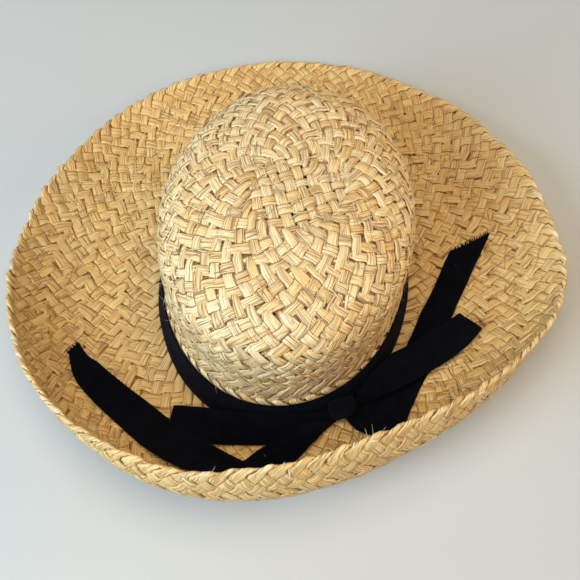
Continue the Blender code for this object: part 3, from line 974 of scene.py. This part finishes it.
TAIL_RIGHT = (
    (295.4, 6.2, 12.4, 293.6, 5.6, 6.4),
    (299.0, 6.4, 11.2, 293.2, 9.0, 4.8),
    (303.0, 7.2, 9.2, 293.8, 14.2, 4.2),
    (306.4, 9.6, 7.0, 295.5, 23.3, 3.8),
    (307.9, 11.2, 6.2, 298.4, 32.0, 3.8),
    (309.2, 12.0, 5.6, 301.5, 37.5, 3.8),
    (311.2, 12.0, 5.0, 305.6, 39.5, 3.8),
    (314.2, 10.2, 4.2, 311.1, 33.6, 3.7),
    (319.8, 7.2, 3.6, 319.2, 28.7, 3.6),
    (327.6, 7.0, 3.6, 328.1, 28.2, 3.6),
    (336.6, 8.2, 3.6, 334.6, 28.4, 3.6),
    (345.9, 10.0, 3.6, 341.6, 28.8, 3.6),
    (354.6, 14.4, 3.6, 349.6, 31.6, 3.6),
    (2.6, 19.5, 3.6, 356.9, 35.9, 3.6),
    (9.7, 25.4, 3.6, 7.2, 45.8, 3.6),
    (14.2, 30.9, 3.6, 16.3, 60.4, 3.6),
)
STRIP_STEPS = 8
STRIP_ACROSS = 19
PLEATS = 2.5
PLEAT_DEPTH = 0.9 * MM
GATHER_POWER = 1.5


def strip_points(table):
    """A grid of points on a ribbon, from its rows of edge points, with smooth steps in between."""
    rows = np.array(table)
    rows[:, (0, 3)] += np.where(rows[:, (0, 3)] < 180, 360, 0)
    before = np.vstack((rows[:1], rows[:-2]))[:, None]
    after = np.vstack((rows[2:], rows[-1:]))[:, None]
    share = np.linspace(0, 1, STRIP_STEPS, endpoint=False)[None, :, None]
    curve = smooth_between(before, rows[:-1, None], rows[1:, None], after, share)
    curve = np.vstack((curve.reshape(-1, 6), rows[-1:]))[:, None]
    across = np.linspace(0, 1, STRIP_ACROSS)[None, :, None]
    azimuth, out, lift = np.moveaxis(curve[..., :3] + (curve[..., 3:] - curve[..., :3]) * across, -1, 0)
    edges = brim_point(np.radians(azimuth[:, ::STRIP_ACROSS - 1]), out[:, ::STRIP_ACROSS - 1] * MM,
                       lift[:, ::STRIP_ACROSS - 1] * MM)
    width = np.linalg.norm(edges[:, 1] - edges[:, 0], axis=-1)[:, None]
    gathered = np.clip(1 - width / RIBBON_WIDTH, 0, 1) ** GATHER_POWER
    fold = PLEAT_DEPTH * gathered * np.cos(PLEATS * math.tau * across[..., 0])
    steep = np.arctan2(lift[:, -1:] - lift[:, :1], out[:, -1:] - out[:, :1])
    return brim_point(np.radians(azimuth), out * MM - fold * np.sin(steep), lift * MM + fold * np.cos(steep))


def strip(name, table, seed):
    points = strip_points(table)
    middle = points[:, STRIP_ACROSS // 2]
    run = np.concatenate(([0], np.cumsum(np.linalg.norm(np.diff(middle, axis=0), axis=1))))
    width = np.linalg.norm(points[:, -1] - points[:, 0], axis=1).mean()
    run, across = np.meshgrid(run, np.linspace(0, width, STRIP_ACROSS), indexing="ij")
    return cloth_mesh(name, points, run, across, closed=False, seed=seed)


TUFTS = 19
# in millimetres: how long they are, how wide and thick to each side, and how deep their roots lie
TUFT_LENGTH = (1.8, 3.6)
TUFT_WIDTH = (0.35, 0.65)
TUFT_THICKNESS = 0.2
TUFT_ROOT = 0.8
TUFT_STRAY = 0.3
TUFT_SPREAD = 0.22
TUFT_TAPER = 0.8


def frayed(name, table, seed):
    """Small tufts of loose threads along a ribbon's raw cut end, side by side like a comb's teeth."""
    chance = np.random.default_rng(seed)
    points = strip_points(table)
    end, inner = points[-1], points[-4]
    ahead = Vector((end - inner).mean(axis=0)).normalized()
    side = Vector(end[-1] - end[0])
    up = side.normalized().cross(ahead).normalized()
    square = up.cross(side).normalized()
    square = square if square.dot(ahead) > 0 else -square
    shape = bmesh.new()
    for tuft in range(TUFTS):
        share = (tuft + 0.5 + chance.uniform(-TUFT_STRAY, TUFT_STRAY)) / TUFTS
        root = Vector(end[0]) + side * share - ahead * TUFT_ROOT * MM
        heading = (ahead * 0.5 + square + side.normalized() * chance.normal(0, TUFT_SPREAD)).normalized()
        length = chance.uniform(*TUFT_LENGTH) * MM
        wide = chance.uniform(*TUFT_WIDTH) * MM
        beside = heading.cross(up)
        rings = []
        for step in range(4):
            part = step / 3
            spot = root + heading * length * part
            narrow = 1 - TUFT_TAPER * part
            ring = []
            for a in (0, math.tau / 4, math.tau / 2, math.tau * 3 / 4):
                raised = up * math.cos(a) * TUFT_THICKNESS * MM * narrow
                ring.append(shape.verts.new(spot + raised + beside * math.sin(a) * wide * narrow))
            rings.append(ring)
        for near, far in zip(rings, rings[1:]):
            for corner in range(4):
                after = (corner + 1) % 4
                shape.faces.new((near[corner], near[after], far[after], far[corner]))
        shape.faces.new(rings[0][::-1])
        shape.faces.new(rings[-1])
    bmesh.ops.recalc_face_normals(shape, faces=shape.faces)
    mesh = bpy.data.meshes.new(name)
    shape.to_mesh(mesh)
    shape.free()
    mesh.shade_smooth()
    return mesh


for name, table, node, length, seed in (
    ("loop_left", LOOP_LEFT, "bow_loop_left", 0.191, 50),
    ("loop_right", LOOP_RIGHT, "bow_loop_right", 0.199, 51),
):
    loop = show(name, strip(name, table, seed), RIBBON, (node,))

for name, table, node, length, seed in (
    ("tail_left", TAIL_LEFT, "bow_tail_left", 0.209, 52),
    ("tail_right", TAIL_RIGHT, "bow_tail_right", 0.165, 53),
):
    fray = show(name + "_fray", frayed(name + "_fray", table, seed + 10), RIBBON)
    tail = show(name, strip(name, table, seed), RIBBON, (node,))

KNOT_PLACE = (math.radians(291.5), 3.9 * MM, 16.0 * MM)
KNOT_HALF = (9.4 * MM, 4.2 * MM, 9.6 * MM)
KNOT_SQUARENESS = 0.52
KNOT_PLEATS = 3.5
KNOT_PLEAT_DEPTH = 0.07
KNOT_PLEAT_LEAN = 0.35
KNOT_WAIST = 0.10
# share of the half sizes that the knot fills, and the angle left open round each end for its flat face
KNOT_FILL = 0.97
KNOT_END = 0.02
KNOT_RINGS = 40
KNOT_SIDES = 64


def knot_mesh():
    """The ribbon wound over the bow's middle: a soft pillow with pleats that run over it."""
    polar, turn = np.meshgrid(np.linspace(KNOT_END, math.pi - KNOT_END, KNOT_RINGS),
                              np.linspace(0, math.tau, KNOT_SIDES, endpoint=False), indexing="ij")
    x = np.sin(polar) * np.cos(turn)
    y = np.sin(polar) * np.sin(turn)
    z = np.cos(polar)
    cube = [np.sign(value) * np.abs(value) ** KNOT_SQUARENESS for value in (x, y, z)]
    pleats = np.cos(KNOT_PLEATS * math.pi * (cube[0] + KNOT_PLEAT_LEAN * cube[2]))
    pleated = 1 + KNOT_PLEAT_DEPTH * pleats * np.sin(polar)
    waist = 1 - KNOT_WAIST * (1 - cube[2] ** 2)
    points = np.stack((
        cube[0] * KNOT_HALF[0] * waist,
        cube[1] * KNOT_HALF[1] * pleated,
        cube[2] * KNOT_HALF[2],
    ), axis=-1)
    points = points * KNOT_FILL
    index = np.arange(KNOT_RINGS * KNOT_SIDES).reshape(KNOT_RINGS, KNOT_SIDES)
    beside = np.roll(index, -1, axis=1)
    quads = np.stack((index[:-1], index[1:], beside[1:], beside[:-1]), axis=-1).reshape(-1, 4)
    mesh = bpy.data.meshes.new("knot")
    ends = [index[0].tolist(), index[-1, ::-1].tolist()]
    mesh.from_pydata(points.reshape(-1, 3).tolist(), [], quads.tolist() + ends)
    mesh.shade_smooth()
    mark(mesh, "threads", np.stack((points[..., 2], points[..., 0], 0 * x), axis=-1) / MM, vector=True)
    azimuth, out, lift = KNOT_PLACE
    place = brim_point(np.array(azimuth), np.array(out), np.array(lift))
    mesh.transform(Matrix.Translation(place) @ Matrix.Rotation(azimuth + math.pi / 2, 4, "Z"))
    return mesh


show("knot", knot_mesh(), RIBBON, ("bow_knot",))


# Floor, light and camera
# A plain pale floor, cool soft light from the left and warm soft light from above and the right.
# The camera looks down on the near side at the photograph's angle.

FLOOR_COLOR = (0.52, 0.52, 0.515, 1)
FLOOR_HALF = 3.0
FLOOR_DROP = 0.2 * MM
floor_mesh = bpy.data.meshes.new("floor")
corners = [(x * FLOOR_HALF, y * FLOOR_HALF, 0) for x, y in ((-1, -1), (1, -1), (1, 1), (-1, 1))]
floor_mesh.from_pydata(corners, [], [(0, 1, 2, 3)])
floor = bpy.data.objects.new("floor", floor_mesh)
bpy.context.scene.collection.objects.link(floor)
floor.location.z = -FLOOR_DROP
floor_look = bpy.data.materials.new("floor")
floor_look.use_nodes = True
floor_shader = floor_look.node_tree.nodes["Principled BSDF"]
floor_shader.inputs["Base Color"].default_value = FLOOR_COLOR
floor_shader.inputs["Roughness"].default_value = 0.9
floor_mesh.materials.append(floor_look)


def softbox(name, place, size, watts, color, target=(0, 0, 0.04)):
    lamp = bpy.data.lights.new(name, "AREA")
    lamp.shape = "DISK"
    lamp.size = size
    lamp.energy = watts
    lamp.color = color
    lit = bpy.data.objects.new(name, lamp)
    bpy.context.scene.collection.objects.link(lit)
    lit.location = place
    lit.rotation_euler = (Vector(place) - Vector(target)).to_track_quat("Z", "Y").to_euler()


softbox("window", (-0.92, -0.95, 0.78), 0.9, 28, (0.60, 0.81, 1.0))
softbox("ceiling", (0.0, -0.30, 1.50), 1.4, 17.5, (1.0, 0.88, 0.68))
softbox("lamp", (1.40, 0.0, 0.55), 0.9, 10, (1.0, 0.80, 0.52))
softbox("far window", (-0.90, 1.00, 0.70), 0.9, 4, (0.55, 0.78, 1.0))
world = bpy.data.worlds.new("room")
world.use_nodes = True
world.node_tree.nodes["Background"].inputs["Color"].default_value = (1.0, 0.97, 0.93, 1)
world.node_tree.nodes["Background"].inputs["Strength"].default_value = 0.08
bpy.context.scene.world = world
bpy.context.scene.view_settings.view_transform = "Standard"

CAMERA_ELEVATION = math.radians(58.0)
CAMERA_ROLL = math.radians(3.68)
CAMERA_DISTANCE = 570.4 * MM
CAMERA_AIM = Vector((3.77, -7.80, 0)) * MM
CAMERA_LENS = 54.33

back = Vector((0, -math.cos(CAMERA_ELEVATION), math.sin(CAMERA_ELEVATION)))
level_right = Vector((1, 0, 0))
level_up = level_right.cross(back) * -1
right = level_right * math.cos(CAMERA_ROLL) + level_up * math.sin(CAMERA_ROLL)
up = level_up * math.cos(CAMERA_ROLL) - level_right * math.sin(CAMERA_ROLL)
camera_data = bpy.data.cameras.new("camera")
camera_data.lens = CAMERA_LENS
camera_data.sensor_width = 36
camera = bpy.data.objects.new("camera", camera_data)
bpy.context.scene.collection.objects.link(camera)
turn = Matrix((right, up, back)).transposed().to_4x4()
camera.matrix_world = Matrix.Translation(CAMERA_AIM + back * CAMERA_DISTANCE) @ turn
bpy.context.scene.camera = camera
